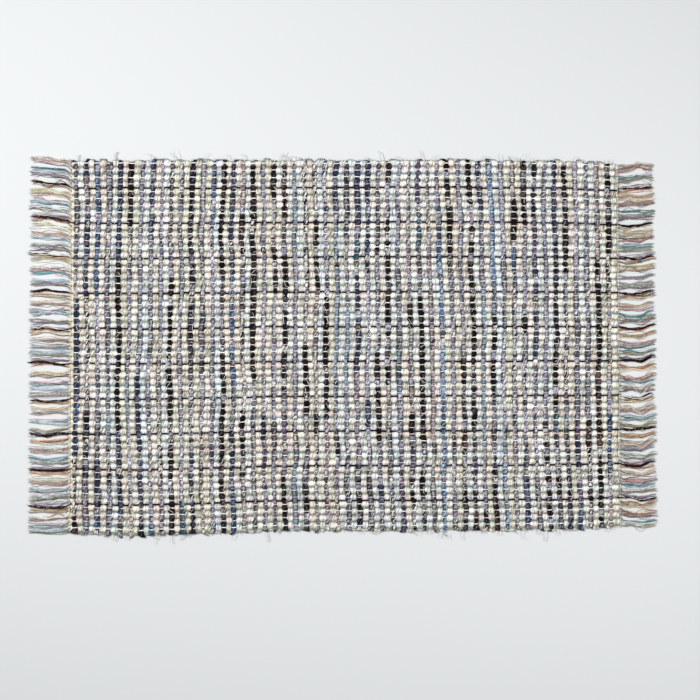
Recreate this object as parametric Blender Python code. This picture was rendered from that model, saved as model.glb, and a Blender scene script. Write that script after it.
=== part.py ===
"""Rag rug: strips of rag woven across a warp of coloured yarns, with the warp ends as a fringe at both ends.

The rug lies flat. X runs along its length, Y across it and Z up, and the origin is under its middle, on the floor.
Three solids make it: the woven body, with a raised rib for each rag, and a fringe at each end. Each fringe grows
out of its heading, the narrow twined strip that locks the weave, and a fine gap parts the heading from the body.
"""
import math
from collections import namedtuple
from random import Random

import bmesh
import bpy

# Driving sizes, in metres
WEFT_COUNT = 104
WARP_COUNT = 106
THICKNESS = 0.008
RIB_DEPTH = 0.0030
HEADING_WIDTH = 0.007
HEADING_HEIGHT = 0.0060
FRINGE_LENGTH = 0.062
PARTING = 0.0003

# How uneven the hand weaving is, in metres
RIB_UNEVEN = 0.0007
SELVEDGE_UNEVEN = 0.0016
VALLEY_TUCK = 0.0018
RAG_WANDER = 0.0006
WANDER_TURNS = 1.5
HEADING_BUMP = 0.0005
FRINGE_RAGGED = 0.005
STRAND_STRAY = 0.0004

# Strands of a fringe lean together in small bunches
BUNCH = 4
BUNCH_PULL = 0.0011

RAG_SEED = 11

# The two short ends of the body: X of each at a share of the way across
EndLine = namedtuple("EndLine", "across left right")
END_LINES = (
    EndLine(0.0, -0.4390, 0.4455),
    EndLine(1.0, -0.4360, 0.4405),
)

# The two long edges: Y of each at a share of the way along. The rug is a little narrower at its right end.
SideLine = namedtuple("SideLine", "along lower upper")
SIDE_LINES = (
    SideLine(0.00, -0.3020, 0.3000),
    SideLine(0.10, -0.3050, 0.3005),
    SideLine(0.28, -0.3010, 0.2995),
    SideLine(0.36, -0.2970, 0.3000),
    SideLine(0.65, -0.2965, 0.3010),
    SideLine(0.90, -0.2945, 0.2990),
    SideLine(1.00, -0.2910, 0.2950),
)

# How far the rags bow along the rug towards the lower and the upper edge, against their middle
Sway = namedtuple("Sway", "along lower upper")
SWAYS = (
    Sway(0.00, 0.0000, 0.0000),
    Sway(0.08, 0.0060, 0.0050),
    Sway(0.25, 0.0040, 0.0030),
    Sway(0.42, 0.0010, 0.0000),
    Sway(0.60, 0.0060, -0.0010),
    Sway(0.72, 0.0045, -0.0070),
    Sway(0.88, 0.0060, -0.0030),
    Sway(1.00, 0.0000, 0.0000),
)

# One rib in section: share of the rag's pitch, height below the crown and tuck of its turn at the edge
RibPoint = namedtuple("RibPoint", "share drop tuck")
RIB = (
    RibPoint(0.00, RIB_DEPTH, VALLEY_TUCK),
    RibPoint(0.30, 0.0, 0.0),
    RibPoint(0.70, 0.0, 0.0),
)

# The body in section across the rug: share of the way across and share of the full height
Row = namedtuple("Row", "across rise")
ROWS = (
    Row(0.000, 0.0),
    Row(0.006, 0.8),
    Row(0.250, 1.0),
    Row(0.500, 1.0),
    Row(0.750, 1.0),
    Row(0.994, 0.8),
    Row(1.000, 0.0),
)

# Rings of a strand past its root: share of its length, width and height
Ring = namedtuple("Ring", "share width height")
RINGS = (
    Ring(0.16, 0.0038, 0.0036),
    Ring(0.56, 0.0034, 0.0032),
    Ring(1.00, 0.0020, 0.0022),
)

# How far the strands sweep across the rug at each ring, for strands at a share of the way across
Sweep = namedtuple("Sweep", "across ring1 ring2 ring3")
LEFT_SWEEPS = (
    Sweep(0.00, -0.0030, -0.0050, -0.0040),
    Sweep(0.25, -0.0035, -0.0050, -0.0030),
    Sweep(0.50, 0.0015, 0.0030, 0.0020),
    Sweep(0.75, 0.0050, 0.0080, 0.0085),
    Sweep(1.00, 0.0080, 0.0105, 0.0130),
)
RIGHT_SWEEPS = (
    Sweep(0.00, -0.0035, -0.0060, -0.0030),
    Sweep(0.25, -0.0020, -0.0035, 0.0030),
    Sweep(0.50, -0.0010, -0.0020, 0.0040),
    Sweep(0.75, -0.0010, -0.0005, 0.0040),
    Sweep(1.00, 0.0020, 0.0050, 0.0055),
)

# Colour and roughness of each solid
Finish = namedtuple("Finish", "name colour roughness")
RAG_FINISH = Finish("rag_cloth", (0.55, 0.56, 0.58, 1.0), 0.9)
LEFT_FINISH = Finish("left_warp_yarn", (0.56, 0.50, 0.45, 1.0), 0.9)
RIGHT_FINISH = Finish("right_warp_yarn", (0.50, 0.48, 0.46, 1.0), 0.9)

# The two fringed ends: share along the rug and way out of it, then the strands' sweeps, finish and seed
End = namedtuple("End", "name along outwards sweeps finish seed")
ENDS = (
    End("fringe_left", 0.0, -1, LEFT_SWEEPS, LEFT_FINISH, 23),
    End("fringe_right", 1.0, 1, RIGHT_SWEEPS, RIGHT_FINISH, 24),
)


def read(table, column, at):
    """Value of a table's column at a share of the way down its first column, eased from row to row."""
    for low, high in zip(table, table[1:]):
        if at <= high[0]:
            share = (at - low[0]) / (high[0] - low[0])
            ease = share * share * (3 - 2 * share)
            return getattr(low, column) + ease * (getattr(high, column) - getattr(low, column))
    return getattr(table[-1], column)


def end_x(side, across):
    """X of a short end of the body, which is straight."""
    lower, upper = (getattr(line, side) for line in END_LINES)
    return lower + across * (upper - lower)


def place(along, across):
    """X and Y of the crossing of the rag at a share along the rug and the warp at a share across it."""
    from_middle = 2 * across - 1
    bow = read(SWAYS, "upper" if from_middle > 0 else "lower", along) * from_middle ** 2
    left = end_x("left", across)
    x = left + along * (end_x("right", across) - left) + bow
    lower = read(SIDE_LINES, "lower", along)
    upper = read(SIDE_LINES, "upper", along)
    return x, lower + across * (upper - lower)


Line = namedtuple("Line", "along height lower_reach upper_reach wander")


def rib_lines():
    """Every line across the body, three to a rag, and the last one that closes the right end."""
    rng = Random(RAG_SEED)
    lines = []
    for rag in range(WEFT_COUNT):
        crown = THICKNESS - rng.uniform(0, RIB_UNEVEN)
        reaches = [rng.uniform(-SELVEDGE_UNEVEN, SELVEDGE_UNEVEN) for _ in range(2)]
        wander = rng.uniform(0, 2 * math.pi)
        for point in RIB:
            along = (rag + point.share) / WEFT_COUNT
            lines.append(Line(along, crown - point.drop, *(r - point.tuck for r in reaches), wander))
    lines[0] = Line(0.0, THICKNESS - RIB_DEPTH, 0.0, 0.0, 0.0)
    lines.append(Line(1.0, THICKNESS - RIB_DEPTH, 0.0, 0.0, 0.0))
    return lines


def body_point(line, row):
    """Place of one point of the body, on a line across it and a row along it."""
    x, y = place(line.along, row.across)
    if row.across == ROWS[0].across:
        y -= line.lower_reach
    elif row.across == ROWS[-1].across:
        y += line.upper_reach
    if 0 < line.along < 1:
        x += RAG_WANDER * math.sin(2 * math.pi * WANDER_TURNS * row.across + line.wander)
    return x, y, line.height * row.rise


def add_object(name, bm, finish):
    """A closed mesh, turned to face outwards, as a named object with a finish of its own."""
    bmesh.ops.recalc_face_normals(bm, faces=bm.faces)
    mesh = bpy.data.meshes.new(name)
    bm.to_mesh(mesh)
    bm.free()
    material = bpy.data.materials.new(finish.name)
    material.use_nodes = True
    shader = material.node_tree.nodes["Principled BSDF"]
    shader.inputs["Base Color"].default_value = finish.colour
    shader.inputs["Roughness"].default_value = finish.roughness
    shader.inputs["Metallic"].default_value = 0.0
    mesh.materials.append(material)
    thing = bpy.data.objects.new(name, mesh)
    bpy.context.scene.collection.objects.link(thing)
    return thing


def make_body():
    """The woven body: ribs across its top, uneven woven edges at both sides and a flat underside."""
    bm = bmesh.new()
    lines = [[bm.verts.new(body_point(line, row)) for row in ROWS] for line in rib_lines()]
    for near, far in zip(lines, lines[1:]):
        for row in range(len(ROWS) - 1):
            bm.faces.new((near[row], near[row + 1], far[row + 1], far[row]))
        bm.faces.new((near[0], far[0], far[-1], near[-1]))
    bm.faces.new(lines[0])
    bm.faces.new(lines[-1])
    return add_object("rug_body", bm, RAG_FINISH)


def heading_points(end, boundary):
    """A heading's section at a boundary between two warps: inner low and high, then outer high and low."""
    across = boundary / WARP_COUNT
    x, y = place(end.along, across)
    inner = x + end.outwards * PARTING
    outer = inner + end.outwards * HEADING_WIDTH
    high = HEADING_HEIGHT - HEADING_BUMP * (boundary % 2)
    return (inner, y, 0), (inner, y, high), (outer, y, RINGS[0].height), (outer, y, 0)


def bunch_lean(strand):
    """How far a strand leans across the rug, towards the middle of its bunch."""
    return ((BUNCH - 1) / 2 - strand % BUNCH) * BUNCH_PULL


def make_fringe(end):
    """A heading with all its strands, which share the heading's outer wall and part from each other past it."""
    rng = Random(end.seed)
    bm = bmesh.new()
    sections = [[bm.verts.new(point) for point in heading_points(end, k)] for k in range(WARP_COUNT + 1)]
    for near, far in zip(sections, sections[1:]):
        for corner in (0, 1):
            bm.faces.new((near[corner], near[corner + 1], far[corner + 1], far[corner]))
        bm.faces.new((near[3], near[0], far[0], far[3]))
    bm.faces.new(sections[0])
    bm.faces.new(sections[-1])
    for strand in range(WARP_COUNT):
        near, far = sections[strand], sections[strand + 1]
        ring = [near[3], far[3], far[2], near[2]]
        root_x = (near[3].co.x + far[3].co.x) / 2
        root_y = (near[3].co.y + far[3].co.y) / 2
        length = FRINGE_LENGTH - rng.uniform(0, FRINGE_RAGGED)
        stray = rng.uniform(-STRAND_STRAY, STRAND_STRAY)
        for number, shape in enumerate(RINGS, start=1):
            x = root_x + end.outwards * length * shape.share
            y = root_y + read(end.sweeps, f"ring{number}", (strand + 0.5) / WARP_COUNT)
            y += bunch_lean(strand) * min(1, shape.share / RINGS[1].share) + stray * shape.share
            half = shape.width / 2
            corners = ((-half, 0), (half, 0), (half, shape.height), (-half, shape.height))
            fresh = [bm.verts.new((x, y + aside, up)) for aside, up in corners]
            for corner in range(4):
                beside = (corner + 1) % 4
                bm.faces.new((ring[corner], ring[beside], fresh[beside], fresh[corner]))
            ring = fresh
        bm.faces.new(ring)
    return add_object(end.name, bm, end.finish)


def centre_on_origin(things):
    """Move the meshes together, so that the origin is under the middle of their common box."""
    points = [vert.co for thing in things for vert in thing.data.vertices]
    shift_x = (min(p.x for p in points) + max(p.x for p in points)) / 2
    shift_y = (min(p.y for p in points) + max(p.y for p in points)) / 2
    for point in points:
        point.x -= shift_x
        point.y -= shift_y


def main():
    """Clear the scene and make the rug."""
    for old in list(bpy.data.objects):
        bpy.data.objects.remove(old)
    centre_on_origin([make_body()] + [make_fringe(end) for end in ENDS])


main()
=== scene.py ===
"""Rag rug: the woven surface, headings, fringe and loose lint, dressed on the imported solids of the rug.

Cloth rags run across the rug as wefts, cream ones in turn with coloured ones, and a warp of thin coloured
yarns binds them in plain weave. Every rag and yarn is modelled as a tube that goes over and under its
neighbours. All sizes are in metres. Places along and across the rug are shares from 0 to 1 unless a name
says otherwise.
"""
import logging
from collections.abc import Sequence
from dataclasses import dataclass, field
from enum import Enum

import bpy
import numpy as np
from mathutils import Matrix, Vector


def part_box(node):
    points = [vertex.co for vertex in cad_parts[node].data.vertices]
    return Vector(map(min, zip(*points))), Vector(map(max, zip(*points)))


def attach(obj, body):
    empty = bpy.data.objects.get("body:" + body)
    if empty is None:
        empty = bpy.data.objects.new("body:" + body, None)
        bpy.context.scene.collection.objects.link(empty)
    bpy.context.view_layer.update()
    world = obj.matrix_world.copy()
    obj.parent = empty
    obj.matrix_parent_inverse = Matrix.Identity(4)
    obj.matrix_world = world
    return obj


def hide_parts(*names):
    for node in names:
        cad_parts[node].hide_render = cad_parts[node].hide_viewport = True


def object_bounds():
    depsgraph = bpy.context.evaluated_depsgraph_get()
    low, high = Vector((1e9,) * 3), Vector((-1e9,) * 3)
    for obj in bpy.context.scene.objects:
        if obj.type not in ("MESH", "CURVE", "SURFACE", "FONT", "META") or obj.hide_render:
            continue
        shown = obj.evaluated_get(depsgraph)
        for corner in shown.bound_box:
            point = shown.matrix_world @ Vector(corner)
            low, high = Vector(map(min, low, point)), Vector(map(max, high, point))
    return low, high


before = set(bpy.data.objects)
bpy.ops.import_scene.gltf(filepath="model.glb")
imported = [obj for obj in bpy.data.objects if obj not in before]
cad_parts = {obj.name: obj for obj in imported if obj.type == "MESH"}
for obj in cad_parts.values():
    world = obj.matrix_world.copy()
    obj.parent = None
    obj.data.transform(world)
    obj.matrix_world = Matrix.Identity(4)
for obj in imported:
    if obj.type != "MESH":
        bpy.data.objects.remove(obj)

LOG = logging.getLogger("rag_rug")
CAD_BOX = [[float(value) for value in corner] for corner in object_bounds()]

# A wave is the largest value either way, with how many values it takes from turn to turn, and a profile is
# places with the value at each
Array = np.ndarray
Random = np.random.Generator
Piece = bpy.types.Object
Material = bpy.types.Material
Socket = bpy.types.NodeSocket
Colour = tuple[float, float, float]
Span = tuple[float, float]
Values = tuple[float, ...]
Wave = tuple[float, int]
Profile = tuple[Values, Values]


def linear(red: int, green: int, blue: int) -> Colour:
    """Colour as a shader takes it.

    Args:
        red: display value from 0 to 255, as are green and blue.

    Returns:
        The same colour on Blender's linear scale from 0 to 1.
    """
    def one(value: int) -> float:
        """One channel of the colour."""
        share = value / 255
        return share / 12.92 if share <= 0.04045 else ((share + 0.055) / 1.055) ** 2.4

    return one(red), one(green), one(blue)


@dataclass(frozen=True)
class Rag:
    """A cloth that rags were torn from: its colour, the colour of its print and how bulky its rags are."""
    colour: Colour
    print_colour: Colour
    print_share: float
    girth: float


class Cloth(Enum):
    """The coloured cloths of the rug."""
    BLACK = Rag(linear(12, 8, 7), linear(80, 74, 72), 0.16, 1.03)
    BROWN_BLACK = Rag(linear(29, 18, 16), linear(110, 92, 88), 0.27, 1.00)
    CHARCOAL = Rag(linear(66, 67, 77), linear(148, 147, 153), 0.34, 0.88)
    INK = Rag(linear(21, 23, 31), linear(84, 88, 104), 0.20, 1.00)
    NAVY = Rag(linear(42, 52, 79), linear(104, 113, 140), 0.22, 0.99)
    SLATE = Rag(linear(95, 100, 115), linear(172, 176, 188), 0.40, 0.84)
    DENIM = Rag(linear(62, 85, 119), linear(120, 143, 174), 0.26, 0.95)
    CORNFLOWER = Rag(linear(98, 134, 178), linear(170, 192, 216), 0.38, 0.94)
    TEAL = Rag(linear(54, 86, 103), linear(118, 146, 156), 0.28, 0.96)
    LAVENDER = Rag(linear(147, 145, 172), linear(212, 211, 223), 0.46, 0.73)
    PALE = Rag(linear(192, 193, 211), linear(121, 121, 147), 0.38, 0.72)
    ICE = Rag(linear(172, 193, 209), linear(110, 136, 156), 0.38, 0.74)
    MAUVE = Rag(linear(131, 115, 132), linear(196, 184, 194), 0.35, 0.82)
    PURPLE = Rag(linear(78, 70, 100), linear(140, 130, 154), 0.28, 0.95)
    GREY = Rag(linear(122, 124, 129), linear(208, 208, 208), 0.44, 0.74)
    TAUPE = Rag(linear(134, 123, 117), linear(212, 205, 197), 0.44, 0.72)
    BLUSH = Rag(linear(211, 193, 193), linear(150, 136, 143), 0.34, 0.72)
    PEPPER = Rag(linear(16, 14, 18), linear(226, 224, 220), 0.50, 0.72)
    SALT = Rag(linear(222, 221, 217), linear(62, 60, 67), 0.38, 0.66)
    NAVY_PRINT = Rag(linear(48, 56, 88), linear(214, 215, 222), 0.46, 0.80)


# Cloths that show here and there in a rag of another colour, where it is patched or turned over
STRAYS = (Cloth.SLATE, Cloth.SALT, Cloth.GREY, Cloth.CHARCOAL, Cloth.LAVENDER, Cloth.PEPPER, Cloth.PALE)

# The coloured picks from the left end to the right, charted: the rags that piece each one, from the
# upper edge to the lower one, with each rag's length in tenths of the rug's width
PICKS = (
    "charcoal 2.5, salt 1, navy 3, denim 0.5, navy 1, pepper 1.5, black 0.5",
    "navy 0.5, mauve 1, navy 2, pepper 3, ink 2, mauve 1, slate 0.5",
    "denim 3.5, lavender 2, slate 2.5, navy 1.5, denim 0.5",
    "slate 2, pepper 0.7, slate 4, ice 1, pepper 1, slate 1.3",
    "navy 2.5, black 4.8, navy 2, slate 0.7",
    "black 2, pepper 0.5, slate 0.8, lavender 2.5, ice 1, lavender 2.4, taupe 0.8",
    "pale 3.7, slate 1, pale 1, navy 2.8, purple 0.6, charcoal 0.5, ink 0.4",
    "navy 2, slate 5.2, taupe 1.2, pale 1, denim 0.6",
    "pale 4.8, taupe 1.4, pepper 2.5, mauve 1, black 0.3",
    "charcoal 2, purple 1, black 3.8, pepper 0.7, black 2.5",
    "slate 3.5, lavender 5.5, teal 1",
    "ink 5, charcoal 1, navy_print 1.2, slate 0.6, navy 1.4, ink 0.8",
    "lavender 2, salt 1.9, navy 0.5, charcoal 2, lavender 0.9, taupe 2.7",
    "denim 2, lavender 2, slate 3, purple 1, lavender 2",
    "black 3, charcoal 2, black 3, brown_black 1.5, ink 0.5",
    "navy 3, denim 3, slate 1, navy 1.5, denim 1.5",
    "blush 1.5, brown_black 1, charcoal 1.5, pepper 2.5, black 1.8, taupe 1.7",
    "black 5.8, salt 0.6, slate 0.9, salt 2.7",
    "pale 2.2, slate 1.3, lavender 3.2, navy 0.7, purple 1.6, slate 1",
    "black 1.2, taupe 0.8, black 1.5, pale 3.5, charcoal 1, slate 2",
    "brown_black 1.5, charcoal 1, black 1.8, ink 2, purple 2.2, black 1, ink 0.5",
    "ice 2.5, pale 4.3, pepper 0.9, ice 2.3",
    "pepper 3.5, grey 1.3, black 2.2, taupe 0.7, charcoal 1, black 1.3",
    "pepper 1.4, black 2, taupe 3.5, black 0.6, pepper 1.3, salt 1.2",
    "navy_print 3.7, black 1.8, ink 1.5, mauve 2.5, pepper 0.5",
    "navy 1.1, purple 0.5, ice 5, slate 0.8, ink 0.6, mauve 1, taupe 1",
    "charcoal 2, salt 2, ice 2.7, lavender 1.3, slate 2",
    "navy 2, teal 1, navy 2.6, mauve 2.6, ink 1.8",
    "navy 3, lavender 3.5, navy 0.7, lavender 0.8, charcoal 1, slate 1",
    "charcoal 2.2, black 0.5, slate 2.4, black 2.4, slate 1, navy 0.8, slate 0.7",
    "black 0.5, mauve 1, black 4.4, taupe 1.4, charcoal 1.2, purple 0.5, pepper 1",
    "pale 2, slate 3, teal 0.8, cornflower 0.5, lavender 0.7, slate 1, mauve 0.8, purple 1.2",
    "grey 2.2, mauve 0.8, slate 0.9, black 0.7, grey 1.3, taupe 0.8, black 1, purple 0.5, black 1.3, "
    "pepper 0.5",
    "purple 1.2, teal 1, charcoal 1.5, black 4, pepper 0.7, black 0.8, charcoal 0.8",
    "taupe 2, blush 5.5, charcoal 0.4, salt 2.1",
    "mauve 1.3, denim 1.5, cornflower 3.7, denim 1, cornflower 2.5",
    "black 2.4, charcoal 0.5, slate 1.5, pale 3.5, lavender 1, pale 1.1",
    "pale 5, black 1, charcoal 0.8, brown_black 1.4, pepper 0.8, ink 1",
    "black 1.3, mauve 0.3, black 5.5, charcoal 1, purple 0.8, brown_black 1.1",
    "navy 1.4, slate 1.8, ice 4.8, mauve 0.8, slate 0.6, ink 0.6",
    "cornflower 3.4, slate 0.8, black 2.2, mauve 0.8, charcoal 1, ink 1, brown_black 0.8",
    "lavender 2.5, slate 2, lavender 2.7, ice 0.6, cornflower 1, ice 0.7, cornflower 0.5",
    "taupe 1, black 1.3, denim 0.8, navy_print 4, mauve 1, salt 1.9",
    "black 1.8, slate 0.9, pale 1.3, black 0.7, navy_print 2.2, lavender 0.5, charcoal 1, navy 1.6",
    "ink 1.5, purple 1.5, navy 2.5, slate 1, lavender 1.5, salt 2",
    "pale 6.9, black 1.3, slate 0.3, black 1.5",
    "navy 2, ink 3, black 1.8, teal 0.5, charcoal 1, black 0.7, charcoal 1",
    "black 3, ice 1, pepper 2.1, purple 0.5, ice 0.5, charcoal 1.4, ink 0.7, navy 0.8",
    "lavender 3, slate 3.8, purple 0.8, navy 1, purple 0.8, denim 0.6",
    "slate 3.5, lavender 1.5, slate 1.9, brown_black 1, pepper 0.8, black 0.5, taupe 0.8",
    "blush 2.7, black 3, brown_black 2.3, black 2",
    "black 2.5, pepper 1, taupe 2.4, lavender 1, denim 1.5, lavender 1, blush 0.6",
)

# The warp's colours in order from each black yarn down to the next
WARP_ORDER = (
    linear(11, 8, 7),
    linear(232, 209, 192),
    linear(128, 128, 110),
    linear(244, 242, 238),
    linear(146, 136, 127),
    linear(222, 200, 203),
    linear(114, 138, 140),
    linear(244, 243, 240),
    linear(148, 153, 126),
    linear(192, 182, 196),
)

# The number of the whitest of them
WHITE_WARP = 3

# The number of the first black yarn, counted from 0 at the upper edge
FIRST_BLACK = 7

# The same yarns where they hang loose, in fuller colour
LOOSE_ORDER = (
    linear(38, 21, 18),
    linear(202, 164, 144),
    linear(194, 186, 158),
    linear(246, 240, 229),
    linear(166, 148, 134),
    linear(206, 180, 186),
    linear(126, 163, 168),
    linear(188, 198, 208),
    linear(160, 160, 138),
    linear(158, 146, 164),
)

# The creamiest yarn of the headings
HEADING = linear(227, 220, 200)

# Shades of the cream rags, from cool to warm and back
CREAMS = (
    linear(236, 243, 248),
    linear(250, 249, 245),
    linear(245, 242, 229),
    linear(238, 234, 219),
    linear(247, 235, 226),
    linear(250, 247, 243),
    linear(240, 243, 243),
)

# The loose threads, from the commonest to the rarest
LINT_COLOURS = (linear(236, 233, 226), linear(222, 218, 208), linear(120, 122, 136), linear(58, 58, 72))


def eased(stations: Sequence[float], values: Sequence[float], at: Array) -> Array:
    """Values of a table between its stations, eased from each to the next.

    Args:
        stations: shares at which the values stand, rising.
        values: one value for each station.
        at: shares to read the table at.

    Returns:
        One value for each share asked.
    """
    stations, values = np.asarray(stations), np.asarray(values)
    at = np.clip(at, stations[0], stations[-1])
    index = np.clip(np.searchsorted(stations, at, side="right") - 1, 0, len(stations) - 2)
    share = (at - stations[index]) / (stations[index + 1] - stations[index])
    ease = share * share * (3 - 2 * share)
    return values[index] + ease * (values[index + 1] - values[index])


def drift(rng: Random, rows: int, count: int, wave: Wave) -> Array:
    """Smooth random values along each of several rows.

    Args:
        rng: where the random values come from.
        rows: how many rows, each on its own.
        count: values in a row.
        wave: the largest value either way, and how many values it takes from turn to turn.

    Returns:
        An array of rows by count.
    """
    amount, turn = wave
    knots = rng.uniform(-1, 1, (rows, count // turn + 3))
    place = np.arange(count) / turn
    low = place.astype(int)
    share = place - low
    ease = share * share * (3 - 2 * share)
    return amount * (knots[:, low] * (1 - ease) + knots[:, low + 1] * ease)


@dataclass
class Ground:
    """The rug's outline, the lines its rags and yarns follow and the height of the cloth's middle."""
    wefts: int = 104
    warps: int = 106
    heading: float = 0.007
    middle: float = 0.0039
    left_end: Span = (-0.4390, -0.4360)
    right_end: Span = (0.4455, 0.4405)
    side_at: Values = (0.00, 0.10, 0.28, 0.36, 0.65, 0.90, 1.00)
    lower_side: Values = (-0.3020, -0.3050, -0.3010, -0.2970, -0.2965, -0.2945, -0.2910)
    upper_side: Values = (0.3000, 0.3005, 0.2995, 0.3000, 0.3010, 0.2990, 0.2950)
    sway_at: Values = (0.00, 0.08, 0.25, 0.42, 0.60, 0.72, 0.88, 1.00)
    lower_sway: Values = (0.0, 0.0060, 0.0040, 0.0010, 0.0060, 0.0045, 0.0060, 0.0)
    upper_sway: Values = (0.0, 0.0050, 0.0030, 0.0, -0.0010, -0.0070, -0.0030, 0.0)
    shift: Span = field(init=False)

    def __post_init__(self) -> None:
        """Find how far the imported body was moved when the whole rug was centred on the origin."""
        low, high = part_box("rug_body")
        middle = (min(self.lower_side) + max(self.upper_side)) / 2
        self.shift = (low[0] - self.left_end[0], (low[1] + high[1]) / 2 - middle)

    def place(self, along: Array, across: Array) -> tuple[Array, Array]:
        """Where lines along and across the rug meet.

        Args:
            along: share of the woven length, from the left end.
            across: share of the width, from the lower edge.

        Returns:
            X and Y of each crossing.
        """
        from_middle = 2 * across - 1
        upper = eased(self.sway_at, self.upper_sway, along)
        lower = eased(self.sway_at, self.lower_sway, along)
        bow = np.where(from_middle > 0, upper, lower) * from_middle ** 2
        left = self.left_end[0] + across * (self.left_end[1] - self.left_end[0])
        right = self.right_end[0] + across * (self.right_end[1] - self.right_end[0])
        low = eased(self.side_at, self.lower_side, along)
        high = eased(self.side_at, self.upper_side, along)
        x = left + along * (right - left) + bow + self.shift[0]
        return x, low + across * (high - low) + self.shift[1]


@dataclass
class Tubes:
    """Many like tubes as one closed mesh, each point with a tint and a second colour: a print, on creams
    painted crease shade.
    """
    points: Array
    tint: Array
    print_tint: Array

    def build(self, name: str) -> Piece:
        """Make the mesh, with quads round and along each tube and a cap at each end.

        Args:
            name: the piece's name.

        Returns:
            The new object, linked to the scene, at the origin.
        """
        tubes, rings, sides = self.points.shape[:3]
        counts = np.arange(tubes), np.arange(rings - 1), np.arange(sides)
        tube, ring, side = np.meshgrid(*counts, indexing="ij")
        beside = (side + 1) % sides
        first = (tube * rings + ring) * sides
        quads = np.stack([first + side, first + beside, first + sides + beside, first + sides + side], -1)
        base = np.arange(tubes)[:, None] * rings * sides
        around = np.arange(sides)[None, :]
        caps = np.stack([base + around[:, ::-1], base + (rings - 1) * sides + around], 1)
        corners = np.concatenate([quads.reshape(-1), caps.reshape(-1)])
        starts = np.concatenate([
            np.arange(quads.size // 4) * 4,
            quads.size + np.arange(caps.size // sides) * sides,
        ])
        mesh = bpy.data.meshes.new(name)
        mesh.vertices.add(self.points.size // 3)
        mesh.vertices.foreach_set("co", self.points.astype(np.float32).reshape(-1))
        mesh.loops.add(len(corners))
        mesh.loops.foreach_set("vertex_index", corners.astype(np.int32))
        mesh.polygons.add(len(starts))
        mesh.polygons.foreach_set("loop_start", starts.astype(np.int32))
        mesh.update(calc_edges=True)
        mesh.shade_smooth()
        for label, values in (("tint", self.tint), ("print_tint", self.print_tint)):
            layer = mesh.attributes.new(label, "FLOAT_COLOR", "POINT")
            layer.data.foreach_set("color", values.astype(np.float32).reshape(-1))
        self.unwrap(mesh, tube, ring, side, caps.size)
        piece = bpy.data.objects.new(name, mesh)
        bpy.context.scene.collection.objects.link(piece)
        return piece

    def unwrap(self, mesh: bpy.types.Mesh, tube: Array, ring: Array, side: Array,
               cap_corners: int) -> None:
        """Lay each tube out as a strip of its own, side by side with the others.

        Args:
            mesh: the finished mesh.
            tube: the tube that each quad is on, as ring and side are its ring and side.
            cap_corners: face corners of the caps, which lie in one spot.
        """
        tubes, rings, sides = self.points.shape[:3]
        along = np.stack([ring, ring, ring + 1, ring + 1], -1) / (rings - 1)
        margin = 0.05
        around = (1 - 2 * margin) * np.stack([side, side + 1, side + 1, side], -1) / sides
        across = (tube[..., None] + margin + around) / tubes
        flat = np.stack([along, across], -1).reshape(-1)
        layer = mesh.uv_layers.new(name="OFBake")
        layer.data.foreach_set("uv", np.concatenate([flat, np.zeros(2 * cap_corners)]).astype(np.float32))


def sweep(path: Array, half_width: Array, half_height: Array, sides: int) -> Array:
    """Rings of points round a path that runs nearly level.

    Args:
        path: tubes by rings by 3.
        half_width: half the tube's width at each ring, as half_height is half its height.
        sides: points in a ring.

    Returns:
        Tubes by rings by sides by 3.
    """
    ahead = np.gradient(path, axis=1)
    ahead /= np.linalg.norm(ahead, axis=-1, keepdims=True) + 1e-12
    aside = np.cross(ahead, np.broadcast_to(np.array([0.0, 0.0, 1.0]), path.shape))
    aside /= np.linalg.norm(aside, axis=-1, keepdims=True) + 1e-12
    rise = np.cross(aside, ahead)
    angle = 2 * np.pi * (np.arange(sides) + 0.5) / sides
    width = half_width[..., None, None] * np.cos(angle)[:, None] * aside[:, :, None, :]
    height = half_height[..., None, None] * np.sin(angle)[:, None] * rise[:, :, None, :]
    return path[:, :, None, :] + width + height


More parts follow.
